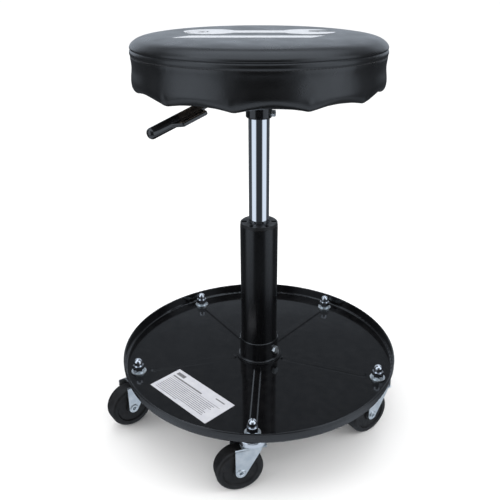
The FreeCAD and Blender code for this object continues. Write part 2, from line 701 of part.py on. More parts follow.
def make_valve_pin():
    """Release pin; its wide foot seals against the underside of the valve housing."""
    bottom = D.pin_top - D.pin_length
    foot_top = D.tube_top - D.valve_height - 0.1
    return turned("valve_pin", [
        (0, bottom), (D.pin_radius + 1.6, bottom), (D.pin_radius + 1.6, foot_top), (D.pin_radius, foot_top),
        (D.pin_radius, D.pin_top - 0.6), (D.pin_radius - 0.6, D.pin_top), (0, D.pin_top)])


# --- seat mechanism: local +x points along the lever ------------------------------------------------

PLATE_BOTTOM = D.plate_top - D.plate_sheet
EAR_INNER = 4.2
EAR_SHEET = 2.5


def make_seat_collar():
    """Collar welded into the seat plate; it takes the tube's top and has a slot for the lever.

    Local +x points at the clamp screw.
    """
    step = D.tube_top + 0.3
    body = turned("seat_collar", [
        (D.tube_radius + 0.05, D.collar_bottom), (D.collar_radius - D.collar_bevel, D.collar_bottom),
        (D.collar_radius, D.collar_bottom + D.collar_bevel), (D.collar_radius, D.plate_top),
        (D.tube_radius - 1, D.plate_top), (D.tube_radius - 1, step), (D.tube_radius + 0.05, step)])
    slot = new_sketch(body, "XY_Plane", (0, 0, D.plate_top))
    draw_turned_slot(slot, 5, D.collar_radius + 5, D.lever_radius + 0.8, D.lever_angle - D.clamp_screw_angle)
    pocket(body, slot, D.plate_top - D.lever_height + D.lever_radius + 2.2)
    screw = new_sketch(body, "YZ_Plane")
    draw_circle(screw, 0, D.clamp_screw_height, 2.55)
    pocket(body, screw, D.collar_radius + 2, forwards=True)
    place(body, rotation=spin(D.clamp_screw_angle.value))
    return body


def draw_turned_slot(sketch, near, far, half, turn):
    """Rectangle from near to far along a line through the origin, at the angle turn."""
    along, across = cosine(turn), sine(turn)
    corners = [(near, -half), (far, -half), (far, half), (near, half)]
    draw_outline(sketch, [(x * along - y * across, x * across + y * along) for x, y in corners])


def make_collar_screw():
    body = radial_hex_screws("collar_screw", thread=2.5, flats=8.0, tip=D.tube_radius + 0.05,
                             seat=D.collar_radius + 0.05, head=4.4, height=D.clamp_screw_height, count=1)
    place(body, rotation=spin(D.clamp_screw_angle.value))
    return body


def rounded_square(sketch, size, corner):
    half = size / 2
    inset = half - corner
    draw_outline(sketch, [
        (-inset, -half), (inset, -half), ("left", corner), (half, -inset), (half, inset), ("left", corner),
        (inset, half), (-inset, half), ("left", corner), (-half, inset), (-half, -inset), ("left", corner)])


def make_seat_plate():
    """Stamped plate under the board: folded lips on two sides and two ears for the lever's pivot."""
    body = new_body("seat_plate")
    outline = new_sketch(body, "XY_Plane", (0, 0, PLATE_BOTTOM))
    rounded_square(outline, D.plate_size, D.plate_corner)
    pad(body, outline, D.plate_sheet)
    half, inset = D.plate_size / 2, D.plate_size / 2 - D.plate_corner
    lips = new_sketch(body, "XY_Plane", (0, 0, PLATE_BOTTOM + 0.5))
    draw_rectangle(lips, -inset, half - D.plate_sheet, inset, half)
    draw_rectangle(lips, -inset, -half, inset, D.plate_sheet - half)
    pad(body, lips, D.plate_lip, downwards=True)
    ears = new_sketch(body, "XY_Plane", (0, 0, PLATE_BOTTOM + 0.5))
    ear_outer = EAR_INNER + EAR_SHEET
    draw_rectangle(ears, D.lever_pivot - 6, EAR_INNER, D.lever_pivot + 6, ear_outer)
    draw_rectangle(ears, D.lever_pivot - 6, -ear_outer, D.lever_pivot + 6, -EAR_INNER)
    pad(body, ears, PLATE_BOTTOM - D.lever_height + 6, downwards=True)
    pivot = new_sketch(body, "XZ_Plane")
    draw_circle(pivot, D.lever_pivot, D.lever_height, D.pivot_radius + 0.05)
    pocket(body, pivot, 30.0, middle=True)
    bore = new_sketch(body, "XY_Plane", (0, 0, PLATE_BOTTOM))
    draw_circle(bore, 0, 0, D.collar_radius + 0.05)
    for x, y in bolt_spots():
        draw_circle(bore, x, y, 3.3)
    pocket(body, bore, D.plate_sheet * 2, forwards=True)
    place(body, rotation=spin(D.lever_angle.value))
    return body


def bolt_spots():
    half = D.seat_bolt_spacing / 2
    return [(half, half), (-half, half), (-half, -half), (half, -half)]


def make_lever_pivot_pin():
    """Rivet across both ears."""
    ear = as_size(EAR_INNER + EAR_SHEET + 0.05)
    head = D.pivot_radius + 1.6
    upper = [(D.pivot_radius, ear), (head, ear), (head - 0.6, ear + 1.4), (0, ear + 1.4)]
    body = turned("lever_pivot_pin", mirrored_outline(upper))
    spot = spin(D.lever_angle.value).multVec(Vector(D.lever_pivot.value, 0, D.lever_height.value))
    across = spin(D.lever_angle.value) * FreeCAD.Rotation(Vector(1, 0, 0), 90)
    place(body, spot.x, spot.y, spot.z, across)
    return body


def lever_line(run):
    """Corner points of the lever's centre line: tip, bend start, bend end, and the point at x = run."""
    bend_end_x = D.lever_bend_start + D.lever_bend_radius * sine(D.lever_slope)
    bend_end_z = D.lever_height - D.lever_bend_radius * (1 - cosine(D.lever_slope))
    drop = (run - bend_end_x) * sine(D.lever_slope) / cosine(D.lever_slope)
    return [(-D.lever_tip, D.lever_height), (D.lever_bend_start, D.lever_height),
            (bend_end_x, bend_end_z), (run, bend_end_z - drop)]


def make_lever_rod():
    """Bent rod with a hub at its pivot; the handle is pushed on its outer end."""
    tip, bend_start, bend_end, rod_end = lever_line(D.lever_rod_end)
    body = new_body("lever_rod")
    path = new_sketch(body, "XZ_Plane")
    spots = [Vector(x.value, z.value, 0) for x, z in (tip, bend_start, bend_end, rod_end)]
    centre = Vector(bend_start[0].value, bend_start[1].value - D.lever_bend_radius.value, 0)
    quarter = math.pi / 2
    bend = Part.ArcOfCircle(Part.Circle(centre, UP, D.lever_bend_radius.value),
                            quarter - math.radians(D.lever_slope.value), quarter)
    path.addGeometry([Part.LineSegment(spots[0], spots[1]), bend, Part.LineSegment(spots[2], spots[3])], False)
    path.addConstraint(Sketcher.Constraint("Coincident", 0, 2, 1, 2))
    path.addConstraint(Sketcher.Constraint("Coincident", 1, 1, 2, 1))
    for geometry, end, spot in ((0, 1, tip), (0, 2, bend_start), (2, 1, bend_end), (2, 2, rod_end)):
        hold_point(path, geometry, end, *spot)
    held = path.addConstraint(Sketcher.Constraint("Radius", 1, D.lever_bend_radius.value))
    path.setExpression(f"Constraints[{held}]", D.lever_bend_radius.text)
    section = new_sketch(body, "YZ_Plane", (0, 0, -D.lever_tip))
    draw_circle(section, 0, D.lever_height, D.lever_radius)
    pipe = body.newObject("PartDesign::AdditivePipe", "Rod")
    pipe.Profile = section
    pipe.Spine = (path, ["Edge1", "Edge2", "Edge3"])
    hub = new_sketch(body, "XZ_Plane")
    draw_circle(hub, D.lever_pivot, D.lever_height, D.pivot_radius + 3)
    pad(body, hub, (EAR_INNER - 0.2) * 2, middle=True)
    hole = new_sketch(body, "XZ_Plane")
    draw_circle(hole, D.lever_pivot, D.lever_height, D.pivot_radius + 0.05)
    pocket(body, hole, 30.0, middle=True)
    place(body, rotation=spin(D.lever_angle.value))
    return body


def make_lever_handle():
    """Moulded grip: a round bar over the rod with a dished finger wing along one side.

    Local +x runs down along the lever's slope, and the wing is on local +y.
    """
    body = new_body("lever_handle")
    start = as_size(-2)
    corner = 3.0
    under = -(D.wing_thickness * 0.65)
    plan = new_sketch(body, "XY_Plane", (0, 0, under))
    draw_outline(plan, [
        (2, 0), (D.wing_inner_end, 0), (D.wing_inner_end, D.handle_radius - 2),
        (D.wing_outer_end + 2, D.wing_width - 1.5), ("left", corner), (D.wing_outer_end - 1.5, D.wing_width),
        (2 + corner, D.wing_width), ("left", corner), (2, D.wing_width - corner)])
    pad(body, plan, D.wing_thickness)
    round_edges(body, 1.4, lambda edge: edge.BoundBox.ZLength < 0.01 and edge.BoundBox.YMax > 4.5)
    bar = new_sketch(body, "YZ_Plane", (0, 0, start))
    draw_circle(bar, 0, 0, D.handle_radius)
    pad(body, bar, D.handle_length - start)
    at_tip = D.handle_length.value
    round_edges(body, D.handle_radius - 1.2, lambda edge: abs(edge.BoundBox.XMin - at_tip) < 0.01)
    dish = new_sketch(body, "XY_Plane", (0, 0, D.wing_thickness * 0.35))
    near, far = D.handle_radius + 1.5, D.wing_width - 2.6
    draw_outline(dish, [
        (5, near), (D.wing_outer_end + 2.5, near), (D.wing_outer_end - 2.5, far), (6.5, far), (5, far - 1.5)])
    pocket(body, dish, D.wing_dish, taper=-35)
    bore = new_sketch(body, "YZ_Plane", (0, 0, start))
    draw_circle(bore, 0, 0, D.lever_radius + 0.1)
    pocket(body, bore, D.handle_bore - start, forwards=True)
    end = lever_line(D.handle_start)[-1]
    turn = spin(D.lever_angle.value) * FreeCAD.Rotation(Vector(0, 1, 0), D.lever_slope.value)
    spot = spin(D.lever_angle.value).multVec(Vector(end[0].value, 0, end[1].value))
    place(body, spot.x, spot.y, spot.z, turn)
    return body


def make_seat_bolts():
    body = new_body("seat_bolts")
    half = D.seat_bolt_spacing / 2
    head_bottom = PLATE_BOTTOM - 4.2
    head = new_sketch(body, "XY_Plane", (half * math.sqrt(2), 0, head_bottom))
    draw_hexagon(head, as_size(10))
    flange = new_sketch(body, "XY_Plane", (half * math.sqrt(2), 0, PLATE_BOTTOM - 1.2))
    draw_circle(flange, 0, 0, 6.8)
    shank = new_sketch(body, "XY_Plane", (half * math.sqrt(2), 0, PLATE_BOTTOM - 0.2))
    draw_circle(shank, 0, 0, 3)
    shank_length = D.plate_sheet + D.board_thickness - 1
    features = [pad(body, head, 3.6), pad(body, flange, 1.2), pad(body, shank, shank_length)]
    repeat_round(body, features, 4)
    place(body, rotation=spin(D.lever_angle.value + 45))
    return body


def make_tee_nuts():
    half = D.seat_bolt_spacing / 2
    top = D.plate_top + D.board_thickness
    body = turned("tee_nuts", [
        (3.05, top - 10), (4.6, top - 10), (4.6, top - 1.4), (9.5, top - 1.4), (9.5, top - 0.1),
        (3.05, top - 0.1)], half * math.sqrt(2))
    repeat_round(body, [body.Tip], 4)
    place(body, rotation=spin(D.lever_angle.value + 45))
    return body


# --- seat ---------------------------------------------------------------------------------------------

def make_seat_board():
    top = D.plate_top + D.board_thickness
    edge = 3.0
    body = turned("seat_board", [
        (0, D.plate_top), (D.board_radius - edge, D.plate_top), ("left", edge),
        (D.board_radius, D.plate_top + edge), (D.board_radius, top), (0, top)])
    half = D.seat_bolt_spacing / 2
    through = new_sketch(body, "XY_Plane", (half * math.sqrt(2), 0, D.plate_top))
    draw_circle(through, 0, 0, 4.7)
    hole = pocket(body, through, D.board_thickness, forwards=True)
    recess = new_sketch(body, "XY_Plane", (half * math.sqrt(2), 0, top))
    draw_circle(recess, 0, 0, 9.6)
    sink = pocket(body, recess, 1.5)
    repeat_round(body, [hole, sink], 4)
    place(body, rotation=spin(D.lever_angle.value + 45))
    return body


def rolled_edge(inset):
    """The seat's rolled top edge, from the pinch under its seam round to the crown, and on to the axis."""
    centre_x = D.seat_radius - D.roll_radius
    centre_z = D.seat_top - D.roll_drop
    radius = D.roll_radius - inset
    low, high = D.roll_low_angle, D.roll_high_angle
    return [
        (centre_x + radius * cosine(low), centre_z - radius * sine(low)), ("left", radius),
        (centre_x + radius * cosine(high), centre_z + radius * sine(high)), ("left", D.crown_radius - inset),
        (D.crown_flat_radius, D.seat_top - inset), (0, D.seat_top - inset)]


def seat_side(inset):
    """The side band, from the turned under bottom edge up to the pinch."""
    return [
        (D.seat_side - 9 - inset, D.plate_top - 1.3 + inset), ("left", 12 - inset),
        (D.seat_side - 0.6 - inset, D.plate_top + 10), ("left", D.band_radius - inset)]


def make_seat_foam():
    gap = D.cover_thickness + 0.3
    bottom = D.plate_top + D.board_thickness + 0.2
    return turned("seat_foam", [
        (0, bottom), (D.seat_side - 0.8 - gap, bottom), ("left", D.band_radius - gap)] + rolled_edge(gap))


def flipped(outline):
    """The same outline walked the other way."""
    swap = {"left": "right", "right": "left"}
    return [(swap.get(item[0], item[0]), item[1]) if isinstance(item[0], str) else item
            for item in reversed(outline)]


def make_seat_cover():
    """Vinyl cover: a shell over foam and board that is folded in under the board and stapled."""
    skin = D.cover_thickness
    under = D.plate_top - 0.1
    outer = [(D.cover_return, under - skin)] + seat_side(ZERO) + rolled_edge(ZERO)
    inner = [(D.cover_return, under)] + seat_side(skin) + rolled_edge(skin)
    return turned("seat_cover", outer + flipped(inner))


def make_cover_staples():
    body = new_body("cover_staples")
    sketch = new_sketch(body, "XY_Plane", (0, 0, D.plate_top - 0.1 - D.cover_thickness - 0.02))
    draw_rectangle(sketch, D.staple_circle - 0.6, -5, D.staple_circle + 0.6, 5)
    crown = pad(body, sketch, 0.6, downwards=True)
    repeat_round(body, [crown], D.staple_count)
    return body


# --- the whole stool -----------------------------------------------------------------------------------

def make_all():
    single = [make_tool_tray, make_column_socket, make_socket_screws, make_gas_lift_housing, make_guide_sleeve,
              make_caster_stems, make_swivel_balls, make_piston_rod, make_retaining_clip, make_valve_pin,
              make_seat_collar, make_collar_screw, make_seat_plate, make_lever_pivot_pin, make_lever_rod,
              make_lever_handle, make_seat_bolts, make_tee_nuts, make_seat_board, make_seat_foam,
              make_seat_cover, make_cover_staples]
    several = [make_stem_fasteners, make_casters, make_thrust_bearing, make_piston, make_pressure_tube]
    nodes = [make() for make in single]
    for make in several:
        nodes.extend(make())
    return nodes


def check_document():
    failed = [item for item in DOCUMENT.Objects if "Invalid" in item.State or "Error" in item.State]
    if failed:
        names = [f"{item.Name} in {[parent.Label for parent in item.InList]}" for item in failed]
        raise RuntimeError("failed: " + "; ".join(names))


def check_cuts(nodes):
    """Every pocket and groove must have taken material away."""
    for node in nodes:
        for feature in getattr(node, "Group", []):
            if feature.TypeId in ("PartDesign::Pocket", "PartDesign::Groove"):
                if feature.Shape.Volume >= feature.BaseFeature.Shape.Volume - 0.01:
                    raise RuntimeError(f"{feature.Name} in {node.Label} cuts nothing")


def write_steps(nodes):
    os.makedirs("parts", exist_ok=True)
    for node in nodes:
        shape = node.Shape
        if shape.isNull() or not shape.isValid() or not shape.Solids:
            raise RuntimeError(f"{node.Label} has no valid solid")
        shape.exportStep(f"parts/{node.Label}.step")
        print(f"{node.Label}: {len(shape.Solids)} solid(s), {shape.Volume / 1000:.2f} cm3")


def main():
    nodes = make_all()
    DOCUMENT.recompute()
    check_document()
    check_cuts(nodes)
    write_steps(nodes)


main()
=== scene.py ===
"""Looks of a rolling mechanic's stool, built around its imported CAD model. Metres, +Z up, front towards -Y."""
import json
import math

import bmesh
import bpy
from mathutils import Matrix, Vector, noise
from mathutils.bvhtree import BVHTree


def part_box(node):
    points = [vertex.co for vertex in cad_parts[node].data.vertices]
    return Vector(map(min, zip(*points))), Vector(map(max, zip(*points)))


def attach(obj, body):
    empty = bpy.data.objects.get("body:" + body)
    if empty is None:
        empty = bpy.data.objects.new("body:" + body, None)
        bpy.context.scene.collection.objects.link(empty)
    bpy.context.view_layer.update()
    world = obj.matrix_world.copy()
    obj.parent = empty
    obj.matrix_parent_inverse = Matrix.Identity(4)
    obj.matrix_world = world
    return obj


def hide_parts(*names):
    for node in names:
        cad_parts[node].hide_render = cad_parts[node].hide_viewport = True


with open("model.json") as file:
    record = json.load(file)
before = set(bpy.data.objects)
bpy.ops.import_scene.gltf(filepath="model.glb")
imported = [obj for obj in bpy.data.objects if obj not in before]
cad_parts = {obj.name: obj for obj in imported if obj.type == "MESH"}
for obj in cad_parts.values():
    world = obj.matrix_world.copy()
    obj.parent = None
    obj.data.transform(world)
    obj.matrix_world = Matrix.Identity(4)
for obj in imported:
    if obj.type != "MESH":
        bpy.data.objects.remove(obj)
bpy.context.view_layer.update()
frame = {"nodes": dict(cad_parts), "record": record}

MM = 0.001
SEAT_LOW, SEAT_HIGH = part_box("seat_cover")
BOARD_LOW, BOARD_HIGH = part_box("seat_board")
TRAY_LOW, TRAY_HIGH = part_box("tool_tray")
SEAT_RADIUS = (SEAT_HIGH[0] - SEAT_LOW[0]) / 2
SEAT_TOP = SEAT_HIGH[2]
BOARD_RADIUS = (BOARD_HIGH[0] - BOARD_LOW[0]) / 2
TRAY_SHEET = 1.2 * MM
TRAY_FLOOR = TRAY_LOW[2] + TRAY_SHEET


# --- camera, floor and lights ---------------------------------------------------------------------

def make_camera():
    """Stands in front of the stool, a little above the seat, and looks down at the tray."""
    camera = bpy.data.cameras.new("camera")
    camera.lens = 45.0
    camera.sensor_width = 36.0
    camera.shift_x = -0.018
    camera.shift_y = 0.0038
    spot = bpy.data.objects.new("camera", camera)
    spot.location = (0, -0.812, 0.6178)
    spot.rotation_euler = (math.radians(65.64), 0, 0)
    bpy.context.collection.objects.link(spot)
    bpy.context.scene.camera = spot


def make_floor():
    """A pale floor that runs past the horizon of every view."""
    reach = 60.0
    mesh = bpy.data.meshes.new("floor")
    mesh.from_pydata([(-reach, -reach, 0), (reach, -reach, 0), (reach, reach, 0), (-reach, reach, 0)],
                     [], [(0, 1, 2, 3)])
    floor = bpy.data.objects.new("floor", mesh)
    bpy.context.collection.objects.link(floor)
    finish = Finish("pale_floor", (0.9, 0.9, 0.9), roughness=0.8)
    finish.vary_colour(finish.noise(0.4), (0.89, 0.89, 0.89), (0.92, 0.92, 0.92))
    mesh.materials.append(finish.material)
    floor.visible_glossy = False


def make_softbox(name, spot, aim, width, height, power):
    light = bpy.data.lights.new(name, "AREA")
    light.shape = "RECTANGLE"
    light.size = width
    light.size_y = height
    light.energy = power
    box = bpy.data.objects.new(name, light)
    box.location = spot
    box.rotation_euler = (Vector(aim) - Vector(spot)).to_track_quat("-Z", "Y").to_euler()
    box.visible_glossy = False
    bpy.context.collection.objects.link(box)


def make_lights():
    """Two tall softboxes at the sides and one overhead. Gloss reflects the world instead of them."""
    side = 1.55
    for name, x in (("left_softbox", -side), ("right_softbox", side)):
        make_softbox(name, spot=(x, -0.35, 0.75), aim=(0, 0, 0.4), width=0.75, height=1.9, power=11.0)
    make_softbox("top_softbox", spot=(0, 0.5, 2.4), aim=(0, 0, 0.3), width=1.8, height=1.2, power=10.0)


def make_world():
    """Even white light on matt surfaces. Gloss reflects a dim room with a bright panel on each side of the
    front, a pale horizon at the back, a lit ceiling and a lit floor."""
    world = bpy.data.worlds.new("studio")
    bpy.context.scene.world = world
    world.use_nodes = True
    tree = world.node_tree
    tree.nodes.clear()
    place = tree.nodes.new("ShaderNodeTexCoord")
    axes = tree.nodes.new("ShaderNodeSeparateXYZ")
    tree.links.new(place.outputs["Generated"], axes.inputs[0])

    def step(axis, low, high, amount=1.0, least=0.0):
        """least where the direction's coordinate is at low, and amount where it is at high and beyond."""
        node = tree.nodes.new("ShaderNodeMapRange")
        node.interpolation_type = "SMOOTHSTEP"
        node.inputs["From Min"].default_value = low
        node.inputs["From Max"].default_value = high
        node.inputs["To Min"].default_value = least
        node.inputs["To Max"].default_value = amount
        tree.links.new(axes.outputs[axis], node.inputs["Value"])
        return node.outputs[0]

    def combine(operation, values):
        total = values[0]
        for value in values[1:]:
            node = tree.nodes.new("ShaderNodeMath")
            node.operation = operation
            tree.links.new(total, node.inputs[0])
            tree.links.new(value, node.inputs[1])
            total = node.outputs[0]
        return total

    def panel(sides):
        """Bright only where all of its sides are."""
        return combine("MULTIPLY", sides)

    left = panel([step("X", -0.42, -0.62), step("Y", 0.05, -0.2), step("Z", -0.52, -0.38)])
    right = panel([step("X", 0.48, 0.68), step("Y", 0.12, -0.12), step("Z", -0.52, -0.38)])
    horizon = panel([step("Y", 0.5, 0.8, 0.75), step("Z", -0.1, 0.02), step("Z", 0.52, 0.36)])
    ground = panel([step("Z", -0.42, -0.66, 0.7), step("Y", 0.6, -0.2)])
    back_wall = step("Y", 0.1, 0.4, 0.09, least=0.04)
    upper_wall = step("Z", 0.12, 0.5, 0.12)
    ceiling = step("Z", 0.66, 0.82)
    room = combine("ADD", [back_wall, upper_wall, ceiling, left, right, horizon, ground])
    reflected = tree.nodes.new("ShaderNodeBackground")
    tree.links.new(room, reflected.inputs["Strength"])
    reflected.inputs["Color"].default_value = (0.79, 0.88, 1.0, 1)
    seen = tree.nodes.new("ShaderNodeBackground")
    seen.inputs["Color"].default_value = (1, 1, 1, 1)
    seen.inputs["Strength"].default_value = 1.2
    rays = tree.nodes.new("ShaderNodeLightPath")
    mix = tree.nodes.new("ShaderNodeMixShader")
    tree.links.new(rays.outputs["Is Glossy Ray"], mix.inputs[0])
    tree.links.new(seen.outputs[0], mix.inputs[1])
    tree.links.new(reflected.outputs[0], mix.inputs[2])
    output = tree.nodes.new("ShaderNodeOutputWorld")
    tree.links.new(mix.outputs[0], output.inputs[0])
    bpy.context.scene.view_settings.view_transform = "Standard"


# --- finishes ---------------------------------------------------------------------------------------

class Finish:
    """A material whose patterns lie in the piece's own metres, so each size is a real one."""

    def __init__(self, name, colour, roughness, metallic=0.0, coat=0.0, coat_roughness=0.1, sheen=0.0,
                 specular=0.5):
        self.material = bpy.data.materials.new(name)
        self.material.use_nodes = True
        self.tree = self.material.node_tree
        self.shader = self.tree.nodes["Principled BSDF"]
        self.place = self.tree.nodes.new("ShaderNodeTexCoord").outputs["Object"]
        self.normal = None
        for socket, number in (("Base Color", (*colour, 1)), ("Roughness", roughness), ("Metallic", metallic),
                               ("Coat Weight", coat), ("Coat Roughness", coat_roughness),
                               ("Sheen Weight", sheen), ("Specular IOR Level", specular)):
            self.shader.inputs[socket].default_value = number

    def stretched(self, stretch):
        node = self.tree.nodes.new("ShaderNodeMapping")
        node.inputs["Scale"].default_value = stretch
        self.tree.links.new(self.place, node.inputs["Vector"])
        return node.outputs[0]

    def noise(self, size, detail=3.0, stretch=(1, 1, 1)):
        """Cloudy pattern with blobs of that size."""
        node = self.tree.nodes.new("ShaderNodeTexNoise")
        node.inputs["Scale"].default_value = 1 / size
        node.inputs["Detail"].default_value = detail
        self.tree.links.new(self.stretched(stretch), node.inputs["Vector"])
        return node.outputs["Fac"]

    def cells(self, size, feature="SMOOTH_F1"):
        """Distance to the nearest of scattered points that far apart."""
        node = self.tree.nodes.new("ShaderNodeTexVoronoi")
        node.feature = feature
        node.inputs["Scale"].default_value = 1 / size
        self.tree.links.new(self.place, node.inputs["Vector"])
        return node.outputs["Distance"]

    def spread(self, value, low, high):
        """Maps the middle of a pattern's range to low..high."""
        start, end = 0.35, 0.65
        node = self.tree.nodes.new("ShaderNodeMapRange")
        for socket, number in (("From Min", start), ("From Max", end), ("To Min", low), ("To Max", high)):
            node.inputs[socket].default_value = number
        self.tree.links.new(value, node.inputs["Value"])
        return node.outputs[0]

    def vary_colour(self, value, dark, light):
        node = self.tree.nodes.new("ShaderNodeMix")
        node.data_type = "RGBA"
        colours = [socket for socket in node.inputs if socket.type == "RGBA"]
        colours[0].default_value = (*dark, 1)
        colours[1].default_value = (*light, 1)
        self.tree.links.new(self.spread(value, 0, 1), node.inputs[0])
        mixed = next(socket for socket in node.outputs if socket.type == "RGBA")
        self.tree.links.new(mixed, self.shader.inputs["Base Color"])

    def vary_roughness(self, value, low, high):
        self.tree.links.new(self.spread(value, low, high), self.shader.inputs["Roughness"])

    def round_off(self, radius):
        """Shades the piece's sharp edges as if they were rounded to that radius."""
        node = self.tree.nodes.new("ShaderNodeBevel")
        node.samples = 4
        node.inputs["Radius"].default_value = radius
        self.normal = node.outputs[0]

    def bump(self, value, height):
        """Raises the surface by the pattern, height metres from its lowest to its highest."""
        node = self.tree.nodes.new("ShaderNodeBump")
        node.inputs["Distance"].default_value = height
        self.tree.links.new(value, node.inputs["Height"])
        if self.normal:
            self.tree.links.new(self.normal, node.inputs["Normal"])
        self.normal = node.outputs[0]
        self.tree.links.new(self.normal, self.shader.inputs["Normal"])


def gloss_paint():
    """Black powder coat with a faint orange peel and thin dust."""
    finish = Finish("gloss_paint", (0.003, 0.003, 0.0035), roughness=0.1, coat=0.3, coat_roughness=0.04)
    finish.round_off(0.9 * MM)
    finish.vary_roughness(finish.noise(0.03, 5), 0.07, 0.13)
    finish.vary_colour(finish.noise(0.011, 6), (0.0022, 0.0022, 0.0026), (0.005, 0.005, 0.0055))
    finish.bump(finish.noise(0.0022, 1), 0.012 * MM)
    return finish.material


def column_paint():
    """Black paint over drawn tube: satin, with a slight lengthwise grain."""
    finish = Finish("column_paint", (0.0012, 0.0012, 0.0015), roughness=0.26, coat=0.15, coat_roughness=0.15)
    finish.vary_roughness(finish.noise(0.012, 5, (1, 1, 0.12)), 0.24, 0.29)
    finish.bump(finish.noise(0.0016, 2), 0.03 * MM)
    return finish.material


def polished(name, colour, roughness):
    """Bright plating with faint lengthwise streaks and finger marks."""
    finish = Finish(name, colour, roughness=roughness, metallic=1.0)
    finish.vary_roughness(finish.noise(0.02, 6, (1, 1, 0.15)), roughness * 0.7, roughness * 1.5)
    finish.bump(finish.noise(0.004, 4, (1, 1, 0.05)), 0.004 * MM)
    return finish.material


def zinc_plate():
    """Bluish zinc plating: cloudy, with small spangles and a rolled grain under it."""
    finish = Finish("zinc_plate", (0.80, 0.84, 0.86), roughness=0.36, metallic=1.0)
    finish.vary_colour(finish.noise(0.012, 6), (0.72, 0.77, 0.80), (0.88, 0.91, 0.92))
    finish.vary_roughness(finish.noise(0.005, 5), 0.30, 0.46)
    finish.bump(finish.noise(0.0018, 3, (1, 1, 0.3)), 0.03 * MM)
    finish.bump(finish.cells(0.006, "F1"), 0.02 * MM)
    return finish.material


def bare_steel(name, colour):
    """Turned or ground metal with a fine grain round the part."""
    finish = Finish(name, colour, roughness=0.3, metallic=1.0)
    finish.vary_roughness(finish.noise(0.003, 4, (1, 1, 6)), 0.24, 0.4)
    finish.bump(finish.noise(0.0006, 2, (1, 1, 8)), 0.01 * MM)
    return finish.material


def wheel_rubber():
    """Hard dark rubber: fine pits, dull scuffs and a little dust."""
    finish = Finish("wheel_rubber", (0.006, 0.0056, 0.006), roughness=0.5, specular=0.35)
    finish.vary_colour(finish.noise(0.008, 6), (0.004, 0.0038, 0.004), (0.010, 0.0096, 0.010))
    finish.vary_roughness(finish.noise(0.004, 4), 0.42, 0.62)
    finish.bump(finish.noise(0.0007, 3), 0.05 * MM)
    return finish.material


def moulded_plastic(name, roughness, grain, coat=0.0):
    """Black plastic with a spark-eroded texture of that height."""
    finish = Finish(name, (0.005, 0.005, 0.0055), roughness=roughness, coat=coat, coat_roughness=0.04)
    finish.vary_roughness(finish.noise(0.006, 4), roughness * 0.8, roughness * 1.3)
    finish.bump(finish.noise(0.0009, 3), grain)
    return finish.material


def seat_vinyl():
    """Leather-like vinyl: pebbled grain, soft creases between the pebbles, and slightly worn sheen."""
    finish = Finish("seat_vinyl", (0.0014, 0.0014, 0.0018), roughness=0.3, specular=0.85)
    finish.vary_colour(finish.noise(0.02, 6), (0.0010, 0.0010, 0.0013), (0.0024, 0.0024, 0.0028))
    finish.vary_roughness(finish.noise(0.03, 5), 0.27, 0.34)
    finish.bump(finish.noise(0.007, 3), 0.06 * MM)
    finish.bump(finish.cells(0.0012), 0.07 * MM)
    finish.bump(finish.noise(0.0005, 2), 0.02 * MM)
    return finish.material


def thread():
    """Black thread, a little paler than the vinyl, with a fine twist."""
    finish = Finish("seat_thread", (0.014, 0.014, 0.016), roughness=0.6, sheen=0.1)
    finish.bump(finish.noise(0.0004, 2, (1, 1, 3)), 0.05 * MM)
    return finish.material


def print_ink():
    """White ink that follows the vinyl's grain."""
    finish = Finish("print_ink", (0.55, 0.57, 0.61), roughness=0.42)
    finish.vary_colour(finish.noise(0.004, 6), (0.50, 0.52, 0.56), (0.61, 0.63, 0.66))
    finish.bump(finish.cells(0.0012), 0.08 * MM)
    return finish.material


def label_paper():
    finish = Finish("label_paper", (0.56, 0.57, 0.62), roughness=0.45)
    finish.vary_colour(finish.noise(0.01, 5), (0.53, 0.54, 0.59), (0.59, 0.60, 0.64))
    finish.bump(finish.noise(0.002, 4), 0.01 * MM)
    return finish.material


def label_ink():
    finish = Finish("label_ink", (0.12, 0.12, 0.13), roughness=0.5)
    finish.vary_colour(finish.noise(0.001, 4), (0.09, 0.09, 0.10), (0.2, 0.2, 0.21))
    return finish.material


def plywood():
    """Dark plywood, darkened as painted shade so that the seat's underside, lit from below, shows dim in the
    lever's gloss; the board's real colour is not known. Long fibres, pores and a warm drift in colour.
    """
    # base colour and its drift are painted shade: darker than bare wood, so the lit underside reflects dim in
    # the lever
    finish = Finish("plywood", (0.13, 0.10, 0.08), roughness=0.7)
    finish.vary_colour(finish.noise(0.02, 8, (0.12, 1.6, 1)), (0.09, 0.07, 0.055), (0.18, 0.145, 0.115))
    finish.bump(finish.noise(0.0016, 4, (0.08, 1, 1)), 0.08 * MM)
    return finish.material


def soft_foam():
    finish = Finish("soft_foam", (0.72, 0.66, 0.5), roughness=0.9)
    finish.bump(finish.cells(0.002), 0.4 * MM)
    finish.vary_colour(finish.noise(0.01, 5), (0.66, 0.6, 0.45), (0.76, 0.7, 0.55))
    return finish.material


def make_finishes():
    """One material for each of the record's slots."""
    return {
        "black_paint": gloss_paint(),
        "black_oxide": moulded_plastic("black_oxide", 0.3, 0.01 * MM),
        "black_plastic": moulded_plastic("black_plastic", 0.42, 0.05 * MM),
        "gloss_black_plastic": moulded_plastic("gloss_black_plastic", 0.1, 0.005 * MM, coat=0.8),
        "steel": bare_steel("bare_steel", (0.55, 0.55, 0.56)),
        "zinc": zinc_plate(),
        "chrome": polished("chrome_plate", (0.80, 0.82, 0.85), 0.07),
        "aluminium": bare_steel("bare_aluminium", (0.70, 0.70, 0.72)),
        "rubber": moulded_plastic("seal_rubber", 0.6, 0.03 * MM),
        "wheel_rubber": wheel_rubber(),
        "plywood": plywood(),
        "foam": soft_foam(),
        "vinyl": seat_vinyl(),
    }


def paint_frame(finishes):
    """Give every CAD node its slot's finish, but the column is satin, and its screws are plated."""
    own = {"gas_lift_housing": column_paint(), "socket_screws": finishes["zinc"]}
    for part in frame["record"]["subparts"]:
        finish = own.get(part["node"], finishes[part["material_slot"]])
        for slot in frame["nodes"][part["node"]].material_slots:
            slot.material = finish


